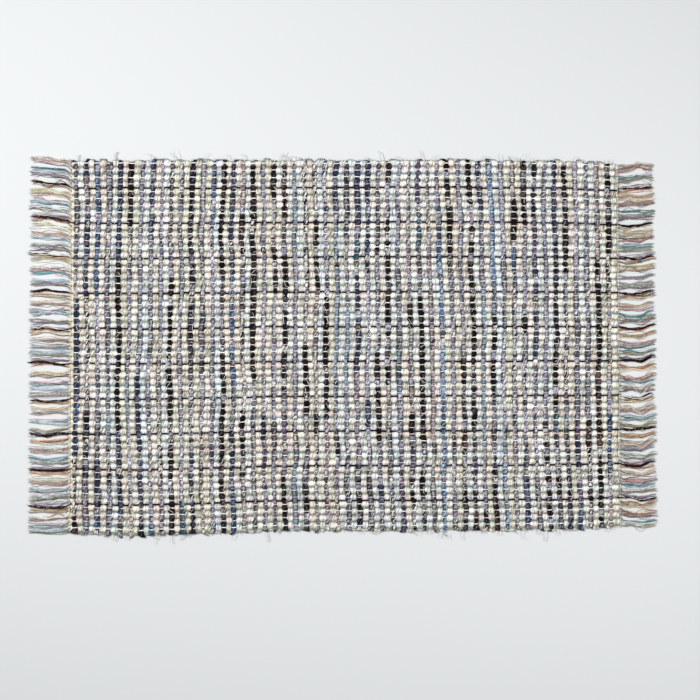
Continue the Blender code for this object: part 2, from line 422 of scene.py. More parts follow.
class NodeBench:
    """Short calls for making a material's nodes."""

    def __init__(self, name: str) -> None:
        """Start a material with its shader.

        Args:
            name: the material's name.
        """
        self.material = bpy.data.materials.new(name)
        self.material.use_nodes = True
        self.tree = self.material.node_tree
        self.shader = self.tree.nodes["Principled BSDF"]

    def add(self, kind: str, given: dict[int | str, object] | None = None,
            **settings: object) -> bpy.types.Node:
        """Add a node.

        Args:
            kind: the node's type, without its common beginning.
            given: values or sockets for its inputs, by number or name.
            settings: properties to set on it.

        Returns:
            The new node.
        """
        node = self.tree.nodes.new("ShaderNode" + kind)
        for key, value in settings.items():
            setattr(node, key, value)
        for key, value in (given or {}).items():
            self.feed(value, node.inputs[key])
        return node

    def feed(self, source: object, target: Socket) -> None:
        """Link a socket to another, or set a plain value on it.

        Args:
            source: the other socket, or the value.
            target: the socket that takes it.
        """
        if isinstance(source, Socket):
            self.tree.links.new(source, target)
        else:
            target.default_value = source

    def math(self, operation: str, first: object, second: object) -> Socket:
        """Work out one value from two."""
        return self.add("Math", {0: first, 1: second}, operation=operation).outputs[0]

    def noise(self, grain: tuple[float, float, float], detail: float = 2.0,
              turn: float = 0.0) -> Socket:
        """Noise with a grain of its own size along each axis.

        Args:
            grain: size of a patch along X, Y and Z, in metres.
            detail: how many finer layers it has.
            turn: angle that the grain is turned by, seen from above, in radians.

        Returns:
            The noise's value.
        """
        mapping = self.add("Mapping", vector_type="TEXTURE")
        places = self.add("TexCoord").outputs["Object"]
        for key, value in {"Vector": places, "Scale": grain, "Rotation": (0.0, 0.0, turn)}.items():
            self.feed(value, mapping.inputs[key])
        given = {"Vector": mapping.outputs[0], "Scale": 1.0, "Detail": detail}
        return self.add("TexNoise", given).outputs[0]

    def ramp(self, value: object, low: float, high: float, to_low: float = 0.0, to_high: float = 1.0,
             smooth: bool = False) -> Socket:
        """Stretch a value from one range to another.

        Args:
            value: the value or socket.
            low: where its range starts.
            high: where its range ends.
            to_low: what the start becomes.
            to_high: what the end becomes.
            smooth: whether it eases in and out.

        Returns:
            The stretched value's socket.
        """
        given = dict(enumerate((value, low, high, to_low, to_high)))
        kind = "SMOOTHSTEP" if smooth else "LINEAR"
        return self.add("MapRange", given, interpolation_type=kind).outputs[0]

    def mix(self, blend: str, share: object, first: object, second: object) -> Socket:
        """Mix a share of the second colour into the first."""
        given = {"Factor": share, 6: first, 7: second}
        return self.add("Mix", given, data_type="RGBA", blend_type=blend).outputs[2]

    def bump(self, height: Socket, depth: float) -> None:
        """Raise the surface by a height pattern, as deep as said, in metres."""
        node = self.add("Bump", {"Distance": depth, "Height": height})
        self.feed(node.outputs[0], self.shader.inputs["Normal"])

    def paint(self, colour: Socket, shade: Socket) -> None:
        """Give the surface a colour.

        Args:
            colour: the colour before it is shaded.
            shade: a factor of it, the same in each channel.
        """
        grey = self.add("CombineColor")
        for socket in grey.inputs[:3]:
            self.feed(shade, socket)
        self.feed(self.mix("MULTIPLY", 1.0, colour, grey.outputs[0]), self.shader.inputs["Base Color"])

    def matt(self, roughness: float, gloss: float) -> None:
        """Make the surface as rough and as little glossy as said."""
        self.shader.inputs["Roughness"].default_value = roughness
        self.shader.inputs["Specular IOR Level"].default_value = gloss


@dataclass(frozen=True)
class RagFinish:
    """Soft matt cotton rag: its own colour with a print, lengthwise creases bumped and darkened with painted
    shade, and a faint nap.
    """
    roughness: float = 0.9
    gloss: float = 0.12
    sheen: float = 0.05
    fold_width: float = 0.0016
    fold_length: float = 0.0150
    fold_share: float = 0.47
    fold_edge: float = 0.10
    fold_shade: float = 0.64
    fold_depth: float = 0.0009
    fold_turn: float = -0.16
    grain: float = 0.0009
    grain_range: Span = (0.3, 0.7)
    grain_shades: Span = (0.84, 1.20)
    grain_depth: float = 0.6
    print_width: float = 0.0015
    print_length: float = 0.0100
    print_detail: float = 0.8
    print_gain: float = 0.33
    print_edge: Span = (0.62, 0.70)
    streak_width: float = 0.0014
    streak_length: float = 0.0130
    streak_turn: float = -0.50
    streak_edge: Span = (0.36, 0.44)
    streak_shade: float = 0.76
    plain_streaks: float = 0.15
    printed_from: Span = (0.15, 0.45)

    def material(self) -> Material:
        """Make the material.

        Returns:
            A material that reads the tint and the print colour at each point of the rags.
        """
        bench = NodeBench("rag_cotton")
        tint = bench.add("Attribute", attribute_name="tint")
        other = bench.add("Attribute", attribute_name="print_tint")
        # The second colour is the print on coloured rags and painted crease shade on the cream ones
        patch = (self.print_width, self.print_length, self.print_length)
        patches = bench.noise(patch, self.print_detail, self.streak_turn)
        over = bench.math("ADD", patches, bench.math("MULTIPLY", other.outputs["Alpha"], self.print_gain))
        share = bench.ramp(over, *self.print_edge, smooth=True)
        cloth = bench.mix("MIX", share, tint.outputs["Color"], other.outputs["Color"])
        # Painted shade darkens the lengthwise creases, which the bump also raises
        folds = bench.noise((self.fold_width, self.fold_length, self.fold_length), 1.0, self.fold_turn)
        fold = bench.ramp(folds, self.fold_share - self.fold_edge, self.fold_share, smooth=True)
        grain = bench.noise((self.grain, self.grain * 3, self.grain), 2.0)
        painted_crease_shade = bench.ramp(fold, 0.0, 1.0, self.fold_shade, 1.0)
        shade = bench.math("MULTIPLY", painted_crease_shade, bench.ramp(grain, *self.grain_range, *self.grain_shades))
        streak = (self.streak_width, self.streak_length, self.streak_length)
        lines = bench.noise(streak, 1.0, self.streak_turn)
        shades = (self.plain_streaks * self.streak_shade, self.streak_shade)
        torn = bench.ramp(other.outputs["Alpha"], *self.printed_from, *shades)
        streaks = bench.math("MULTIPLY", bench.ramp(lines, *self.streak_edge, 1.0, 0.0, smooth=True), torn)
        shade = bench.math("MULTIPLY", shade, bench.math("SUBTRACT", 1.0, streaks))
        bench.paint(cloth, shade)
        height = bench.math("ADD", fold, bench.math("MULTIPLY", grain, self.grain_depth))
        bench.bump(height, self.fold_depth)
        bench.matt(self.roughness, self.gloss)
        bench.shader.inputs["Sheen Weight"].default_value = self.sheen
        return bench.material


@dataclass(frozen=True)
class YarnFinish:
    """Loosely spun cotton yarn: its own colour, with fine light and dark fibres."""
    roughness: float = 0.92
    gloss: float = 0.2
    fibre: float = 0.0004
    fibre_range: Span = (0.3, 0.7)
    fibre_shades: Span = (0.75, 1.15)

    def material(self) -> Material:
        """Make the material.

        Returns:
            A material that reads the tint at each point of the yarn.
        """
        bench = NodeBench("warp_cotton")
        tint = bench.add("Attribute", attribute_name="tint")
        fibres = bench.noise((self.fibre * 3, self.fibre, self.fibre), 2.0)
        bench.paint(tint.outputs["Color"], bench.ramp(fibres, *self.fibre_range, *self.fibre_shades))
        bench.bump(fibres, self.fibre)
        bench.matt(self.roughness, self.gloss)
        return bench.material


def rgba(colours: Array, alpha: Array | float = 1.0) -> Array:
    """Colours with a fourth channel."""
    fourth = np.broadcast_to(np.asarray(alpha)[..., None], colours.shape[:-1] + (1,))
    return np.concatenate([colours, fourth], -1)


def spread(colours: Array, points: Array) -> Array:
    """Colours of rings spread to every point of them, with a fourth channel."""
    return np.broadcast_to(rgba(colours)[:, :, None], points.shape[:3] + (4,))


def is_black(warps: Array) -> Array:
    """Whether each warp yarn is a black one."""
    return (warps - FIRST_BLACK) % len(WARP_ORDER) == 0


def warp_colours(count: int, colours: Sequence[Colour] = WARP_ORDER) -> Array:
    """Colour of each warp yarn, from the upper edge down."""
    order = np.array(colours)
    return order[(np.arange(count) - FIRST_BLACK) % len(order)]


@dataclass(frozen=True)
class Habit:
    """How the rags of one kind vary from bead to bead, where a bead is a rag's length between two pinches.

    Parity 0 is the first rag and each second one after it, and 1 the rags between them. Shades are factors
    of the rag's own colour.
    """
    parity: int
    first_ring: float
    last_ring: float
    bulk: float
    shift: float
    base_shade: float
    shade_wave: Wave
    shade: float
    brightest: float
    tone: float
    lower_edge_factor: float
    # Pinch and pinch power set how deep and how narrow the painted shade at the pinches is, and crown how
    # far up each side the painted shade between the rags reaches
    pinch: float
    pinch_power: float
    crown: float


COLOURED_HABIT = Habit(
    0, first_ring=-0.78, last_ring=-0.20, bulk=0.27, shift=0.0011, base_shade=1.0, shade_wave=(0.10, 9),
    shade=0.24, brightest=1.05, tone=0.80, lower_edge_factor=0.76, pinch=1.18, pinch_power=1.4, crown=0.54,
)
CREAM_HABIT = Habit(
    1, first_ring=-0.95, last_ring=-0.50, bulk=0.15, shift=0.0006, base_shade=1.02, shade_wave=(0.06, 9),
    shade=0.11, brightest=1.01, tone=0.945, lower_edge_factor=0.97, pinch=1.30, pinch_power=2.2, crown=0.36,
)


@dataclass
class Rags:
    """Every second rag of the cloth, all of one kind, with a row for each rag and a value for each ring."""
    ground: Ground
    rng: Random
    habit: Habit
    girths: Array
    centres: Array
    clothes: list[list[Cloth]]
    bulk: float = 1.01
    bulk_wave: Wave = (0.05, 5)
    width: float = 0.0085
    half_height: float = 0.00255
    slim_height: float = 0.75
    bead_rise: float = 0.0010
    rise_wave: Wave = (0.0003, 4)
    along_waves: tuple[Wave, ...] = ((0.0009, 14), (0.0005, 5))
    across_wave: Wave = (0.0004, 5)
    bead_power: float = 0.85
    bead_swell: float = 0.26
    bead_puff: float = 0.00040
    bead_roll: float = 0.30
    dent_wave: Wave = (1.0, 6)
    dent_grain: float = 0.9
    dent_shares: Span = (0.06, 0.07)
    underside: float = 0.0002
    edge_reach: Span = (-0.0034, 0.0032)
    edge_turn: float = 0.0038
    edge_turns: Span = (0.2, 1.4)
    edge_follow: float = 0.4
    tip_girth: Span = (0.5, 0.9)
    knob_girth: Span = (1.0, 1.4)
    neck_girth: float = 1.12
    widest_end: float = 1.25
    hues: float = 0.03
    darkening_reach: float = 0.7
    prints: float = 0.25
    least_print: float = -0.12
    pinch_shade: float = 0.42
    # Painted shade between the rags: its colour, and how far up each side and round the underside it reaches
    crevice: Colour = (0.07, 0.065, 0.06)
    crevice_from: float = 0.12
    below_from: float = 0.45
    below_crown: float = 0.40
    slim_girths: Span = (0.70, 1.00)
    slim_light: float = 0.42
    mixed_share: float = 0.15
    cream_wave: Wave = (1.3, 24)
    cream_jitter: float = 0.4
    cream_breath: float = 0.12
    least_breath: float = 0.05
    # Painted shade in the creams' creases: a darker copy of their tint, and its share
    crease_shade: Colour = (0.66, 0.66, 0.62)
    crease_share: float = 0.18
    sides: int = 10
    ring_steps: Values = (0.0, 0.32, 0.74, 1.26, 1.68)
    ring_room: Span = (0.2, 0.10)
    step: Array = field(init=False)
    bead: Array = field(init=False)

    def __post_init__(self) -> None:
        """Set out the rings, counted in warps from the upper edge, between 1 at a bead and -1 at a pinch."""
        parity, warps = self.habit.parity, self.ground.warps
        pinches = np.arange(-2 + parity, warps + 1, 2)
        places = (pinches[:, None] + np.array(self.ring_steps)).reshape(-1)
        first, last = self.habit.first_ring, warps + self.habit.last_ring
        inner = places[(places > first + self.ring_room[0]) & (places < last - self.ring_room[1])]
        self.step = np.concatenate([[first], inner, [last]])
        wave = -np.cos(np.pi * (self.step + parity))
        self.bead = np.sign(wave) * np.abs(wave) ** self.bead_power

    def at_rings(self, table: Array) -> Array:
        """Values of a table at the rings.

        Args:
            table: a row for each rag, with a value for each warp.

        Returns:
            A row for each rag, with a value for each ring.
        """
        step = np.clip(self.step, 0, self.ground.warps - 1)
        low = np.minimum(step.astype(int), self.ground.warps - 2)
        share = step - low
        return table[:, low] * (1 - share) + table[:, low + 1] * share

    def nearest(self) -> Array:
        """The number of the warp nearest to each ring."""
        return np.clip(np.round(self.step), 0, self.ground.warps - 1).astype(int)

    def wave(self, wave: Wave) -> Array:
        """A smooth random wave along each rag."""
        return drift(self.rng, len(self.girths), len(self.step), wave)

    def by_bead(self, amount: float) -> Array:
        """Random values up to an amount either way, which hold from each pinch of a rag to the next."""
        bead = np.floor((self.step + 2 - self.habit.parity) / 2).astype(int)
        return self.rng.uniform(-amount, amount, (len(self.girths), bead.max() + 1))[:, bead]

    def tubes(self) -> Tubes:
        """Model the rags.

        Returns:
            The tubes, from the left end to the right.
        """
        girth, x, y = self.lines()
        end = self.turn_ends(x, y)
        points, up = self.surface(girth, end)
        points[..., 0] += x[..., None]
        points[..., 1] += y[..., None]
        tint, other = self.tints()
        # Painted shade low between the rags, multiplied into both colours
        deep = self.crevice_shade(up, girth)
        return Tubes(points, tint[:, :, None] * deep, other[:, :, None] * deep)

    def lines(self) -> tuple[Array, Array, Array]:
        """How bulky each rag is and where its middle runs.

        Returns:
            Girth, X and Y.
        """
        girth = self.at_rings(self.girths) * (1 + self.wave(self.bulk_wave))
        girth *= self.bulk + self.by_bead(self.habit.bulk)
        along = self.at_rings(self.centres)
        for wave in self.along_waves:
            along = along + self.wave(wave)
        along += self.by_bead(self.habit.shift)
        across = 1 - (self.step + 0.5) / self.ground.warps
        x, y = self.ground.place(along, np.broadcast_to(across, along.shape))
        return girth, x, y + self.wave(self.across_wave)

    def turn_ends(self, x: Array, y: Array) -> Array:
        """Turn each rag's ends over at the woven edges, every second one the other way.

        Args:
            x: X at each ring, which is changed in place.
            y: Y at each ring, which is changed too.

        Returns:
            A factor of the girth.
        """
        rng, count = self.rng, len(x)
        reach = rng.uniform(*self.edge_reach, (2, count))
        y[:, 0] += reach[0]
        y[:, -1] -= reach[1]
        way = np.where(np.arange(count) % 2 == 0, 1, -1)
        turned = self.edge_turn * way * rng.uniform(*self.edge_turns, count)
        x[:, 0] -= turned
        x[:, 1] -= self.edge_follow * turned
        x[:, -1] += turned
        x[:, -2] += self.edge_follow * turned
        end = np.ones(x.shape)
        end[:, [0, -1]] = rng.uniform(*self.tip_girth, (count, 2))
        end[:, [1, -2]] = rng.uniform(*self.knob_girth, (count, 2))
        end[:, [2, -3]] = self.neck_girth
        return end

    def surface(self, girth: Array, end: Array) -> tuple[Array, Array]:
        """Points round each rag, counted from its middle line in X and Y.

        Args:
            girth: how bulky the rag is.
            end: a factor of that for its ends.

        Returns:
            The points, and how far each looks up, from -1 to 1.
        """
        angle = 2 * np.pi * (np.arange(self.sides) + 0.5) / self.sides
        angle = angle + self.by_bead(self.bead_roll)[..., None]
        side, up = np.cos(angle), np.sin(angle)
        bead = self.bead[:, None]
        dents = np.stack([self.wave(self.dent_wave) for _ in range(self.sides)], -1)
        dents += self.dent_grain * self.rng.uniform(-1, 1, dents.shape)
        in_width, in_height = self.dent_shares
        half = self.width / 2 * (girth * np.minimum(end, self.widest_end))[..., None]
        half = half * (1 + self.bead_swell * bead * up) * (1 + in_width * dents)
        tall = (self.half_height * np.minimum(end, self.neck_girth))[..., None]
        tall = tall + self.bead_puff * bead * np.sign(up)
        tall = tall * (self.slim_height + (1 - self.slim_height) * girth[..., None])
        tall = tall * (1 + in_height * dents)
        rise = self.ground.middle + self.bead_rise * self.bead + self.wave(self.rise_wave)
        points = np.zeros(half.shape + (3,))
        points[..., 0] = half * side
        points[..., 2] = np.maximum(rise[..., None] + tall * up, self.underside)
        return points, up

    def tints(self) -> tuple[Array, Array]:
        """Tint and print colour of each rag, varied by bead, darker to the lower edge, with painted pinch
        shade.

        Returns:
            Two arrays of colours, whose fourth channel is the share of print.
        """
        habit = self.habit
        tint, other = self.cream_colours() if habit.parity else self.cloth_colours()
        lit = habit.base_shade + self.wave(habit.shade_wave) + self.by_bead(habit.shade)
        tint[..., :3] *= habit.tone * np.minimum(lit, habit.brightest)[..., None]
        tint[..., :3] *= 1 + np.stack([self.by_bead(self.hues) for _ in range(3)], -1)
        # Darker towards the lower edge of the rug
        across = 1 - (self.step + 0.5) / self.ground.warps
        tint[..., :3] *= np.interp(across, (0, self.darkening_reach), (habit.lower_edge_factor, 1.0))[:, None]
        other[..., 3] += np.maximum(self.by_bead(self.prints), self.least_print)
        # Painted shade darkens each rag at its pinches, where a warp yarn crosses over it
        pinch_shade_factor = 1 - (1 - self.pinch_shade) * habit.pinch * np.maximum(-self.bead, 0) ** habit.pinch_power
        for colours in (tint, other):
            colours[..., :3] *= pinch_shade_factor[:, None]
        return tint, other

    def crevice_shade(self, up: Array, girth: Array) -> Array:
        """Shade low between the rags, lighter beside slim rags, where more light gets in.

        Args:
            up: how far each point looks up, from -1 to 1.
            girth: how bulky the rag is.

        Returns:
            A factor of the colour at each point.
        """
        above = (up - self.crevice_from) / self.habit.crown
        below = (-up - self.below_from) / self.below_crown
        share = np.clip(np.where(up > 0, above, below), 0, 1)[..., None]
        slim = np.interp(girth, self.slim_girths, (self.slim_light, 0.0))[..., None, None]
        depth = np.array(self.crevice) * (1 - slim) + slim
        return rgba(depth * (1 - share) + share)

    def cloth_colours(self) -> tuple[Array, Array]:
        """Tint and print colour of the coloured rags, with patches of other cloths.

        Returns:
            Two arrays of colours, as tints gives them.
        """
        index = self.nearest()
        beads = (index + 1) // 2
        mixed = self.rng.uniform(0, 1, (len(self.clothes), beads.max() + 1)) < self.mixed_share
        kinds = self.rng.integers(0, len(STRAYS), mixed.shape)
        rows = [
            [STRAYS[kinds[row, bead]].value if mixed[row, bead] else cloths[place].value
             for place, bead in zip(index, beads)]
            for row, cloths in enumerate(self.clothes)
        ]
        tint = np.array([[rag.colour for rag in row] for row in rows])
        other = np.array([[rag.print_colour for rag in row] for row in rows])
        share = np.array([[rag.print_share for rag in row] for row in rows])
        return rgba(tint), rgba(other, share)

    def cream_colours(self) -> tuple[Array, Array]:
        """Tint of the cream rags, with a breath of colour from the yarns beside them, and a darker copy for
        painted crease shade.

        Returns:
            Two arrays of colours, as tints gives them.
        """
        creams = np.array(CREAMS)
        last = len(creams) - 1
        pick = self.rng.uniform(0, last, (len(self.girths), 1)) + self.wave(self.cream_wave)
        pick = np.clip(pick + self.rng.uniform(-self.cream_jitter, self.cream_jitter, pick.shape), 0, last)
        low = np.minimum(pick.astype(int), last - 1)
        share = (pick - low)[..., None]
        tint = creams[low] * (1 - share) + creams[low + 1] * share
        beside = warp_colours(self.ground.warps)[self.nearest()]
        strongest = beside.max(axis=-1, keepdims=True)
        breath = self.cream_breath * beside / (strongest + self.least_breath)
        tint = tint * (1 - self.cream_breath + breath)
        return rgba(tint), rgba(tint * np.array(self.crease_shade), self.crease_share)


@dataclass
class Weave:
    """The woven cloth: rags across the rug, and the warp yarns that bind them."""
    ground: Ground
    cream_bulk: float = 1.17
    cream_give: float = 0.75
    bulk_waves: tuple[Wave, Wave] = ((0.06, 4), (0.10, 7))
    bulk_blend: tuple[int, ...] = (1, 2, 3, 2, 1)
    straightness: float = 0.65
    wander_rags: int = 5
    wander_wave: Wave = (0.0030, 16)
    patch_jitter: float = 1.5
    sections: int = 4
    warp_radius: float = 0.00098
    warp_flatness: float = 0.75
    warp_sides: int = 4
    warp_lift: float = 0.00215
    warp_over: float = 0.27
    sway_waves: tuple[Wave, ...] = ((0.17, 9), (0.11, 3))
    radius_wave: Wave = (0.14, 5)
    shade_wave: Wave = (0.12, 6)
    warp_ends: Values = (0.9, 0.45, 0.1)
    end_swing: Values = (0.0, 0.0, 0.5)
    end_drop: Values = (1.0, 0.9, 0.1)
    black_share: float = 1.65
    sunk_share: float = 0.16
    sunk_lift: float = 0.35
    seed: int = 5
    rng: Random = field(init=False)
    clothes: list[list[Cloth]] = field(init=False)
    girths: Array = field(init=False)
    centres: Array = field(init=False)

    def __post_init__(self) -> None:
        """Set out each rag's cloths, how bulky it is at each warp, and so where along the rug it lies."""
        self.rng = np.random.default_rng(self.seed)
        self.clothes = self.chart()
        self.girths = self.bulk()
        self.centres = self.rag_places()

    def chart(self) -> list[list[Cloth]]:
        """The cloth of each coloured rag at each warp.

        Returns:
            One row for each coloured pick, from the upper edge down.
        """
        rows = []
        for pick in PICKS:
            names, lengths = zip(*(part.split() for part in pick.split(", ")))
            ends = np.cumsum([float(length) for length in lengths])
            jitter = self.rng.uniform(-self.patch_jitter, self.patch_jitter, len(ends))
            ends = ends / ends[-1] * self.ground.warps + jitter
            index = np.minimum(np.searchsorted(ends, np.arange(self.ground.warps)), len(names) - 1)
            rows.append([Cloth[names[number].upper()] for number in index])
        return rows

    def bulk(self) -> Array:
        """How bulky each rag is at each warp: the creams swell where the rags beside them are slim.

        Returns:
            A table of wefts by warps, 1 for a rag of common bulk.
        """
        girths = np.empty((self.ground.wefts, self.ground.warps))
        girths[0::2] = [[cloth.value.girth for cloth in row] for row in self.clothes]
        beside = (girths[0::2] + np.concatenate([girths[2::2], girths[-2:-1]])) / 2
        girths[1::2] = self.cream_bulk + self.cream_give * (1 - beside)
        for parity, wave in enumerate(self.bulk_waves):
            girths[parity::2] *= 1 + drift(self.rng, len(beside), self.ground.warps, wave)
        kernel = np.array(self.bulk_blend) / sum(self.bulk_blend)
        padded = np.pad(girths, ((0, 0), (len(kernel) // 2,) * 2), mode="edge")
        return np.array([np.convolve(row, kernel, mode="valid") for row in padded])

    def rag_places(self) -> Array:
        """Where along the rug each rag's middle lies at each warp.

        Returns:
            A table of wefts by warps, in shares of the woven length.
        """
        wefts, groups = np.arange(self.ground.wefts), self.ground.wefts // self.wander_rags + 3
        packed = (np.cumsum(self.girths, axis=0) - self.girths / 2) / self.girths.sum(axis=0)
        even = (wefts[:, None] + 0.5) / self.ground.wefts
        knots = drift(self.rng, groups, self.ground.warps, self.wander_wave)
        place = wefts / self.wander_rags
        low = place.astype(int)
        share = (place - low)[:, None]
        wander = knots[low] * (1 - share) + knots[low + 1] * share
        return even + (1 - self.straightness) * (packed - even) + wander

    def build_rags(self) -> list[Piece]:
        """Model the rags in lengths of the rug, cream and coloured ones together.

        Returns:
            One piece for each length, from the left.
        """
        kinds = []
        for habit in (COLOURED_HABIT, CREAM_HABIT):
            tables = (self.girths[habit.parity::2], self.centres[habit.parity::2], self.clothes)
            kinds.append(Rags(self.ground, self.rng, habit, *tables).tubes())
        each = self.ground.wefts // 2 // self.sections
        pieces = []
        for number in range(self.sections):
            part = slice(number * each, (number + 1) * each)
            both = [(tubes.points[part], tubes.tint[part], tubes.print_tint[part]) for tubes in kinds]
            joined = [np.concatenate(pair) for pair in zip(*both)]
            pieces.append(Tubes(*joined).build(f"woven_rags_{number + 1}"))
        return pieces

    def warp_lifts(self) -> Array:
        """How high each warp yarn runs above the cloth's middle, over and under the rags.

        Returns:
            A table of warps by rings, two rings for each rag, in metres.
        """
        warps, wefts = np.arange(self.ground.warps), np.arange(self.ground.wefts)
        over = np.where((warps[:, None] + wefts) % 2 == 0, 1.0, -1.0)
        sunk = self.rng.uniform(0, 1, over.shape) < self.sunk_share
        over = np.where(sunk & (over > 0), self.sunk_lift, over)
        return np.repeat(over, 2, axis=1) * self.warp_lift

    def build_warps(self) -> list[Piece]:
        """Model the warp yarns.

        Returns:
            Two pieces, the upper half of the warp and the lower half.
        """
        rng, ground = self.rng, self.ground
        warps = np.arange(ground.warps)
        widths = self.girths.T / self.girths.sum(axis=0)[:, None]
        offsets = np.array([-self.warp_over, self.warp_over])
        along = (self.centres.T[..., None] + offsets * widths[..., None]).reshape(ground.warps, -1)
        past = ground.heading / (ground.right_end[0] - ground.left_end[0]) * np.array(self.warp_ends)
        ends = np.broadcast_to(past, (ground.warps, len(past)))
        along = np.concatenate([-ends, along, 1 + ends[:, ::-1]], 1)
        way = np.where(warps % 2 == 1, 1.0, -1.0)[:, None]
        bound = (way * np.array(self.end_swing) - np.array(self.end_drop)) * self.warp_lift
        lift = np.concatenate([bound, self.warp_lifts(), bound[:, ::-1]], 1)
        size = along.shape
        sway = sum(drift(rng, *size, wave) for wave in self.sway_waves)
        x, y = ground.place(along, 1 - (warps[:, None] + 0.5 + sway) / ground.warps)
        radius = self.warp_radius * (1 + drift(rng, *size, self.radius_wave))
        radius *= np.where(is_black(warps), self.black_share, 1)[:, None]
        shade = 1 + drift(rng, *size, self.shade_wave)[..., None]
        path = np.stack([x, y, ground.middle + lift], -1)
        points = sweep(path, radius, radius * self.warp_flatness, self.warp_sides)
        tint = spread(warp_colours(ground.warps)[:, None] * shade, points)
        half = ground.warps // 2
        return [
            Tubes(points[part], tint[part], tint[part]).build(name)
            for name, part in (("warp_upper", slice(0, half)), ("warp_lower", slice(half, None)))
        ]


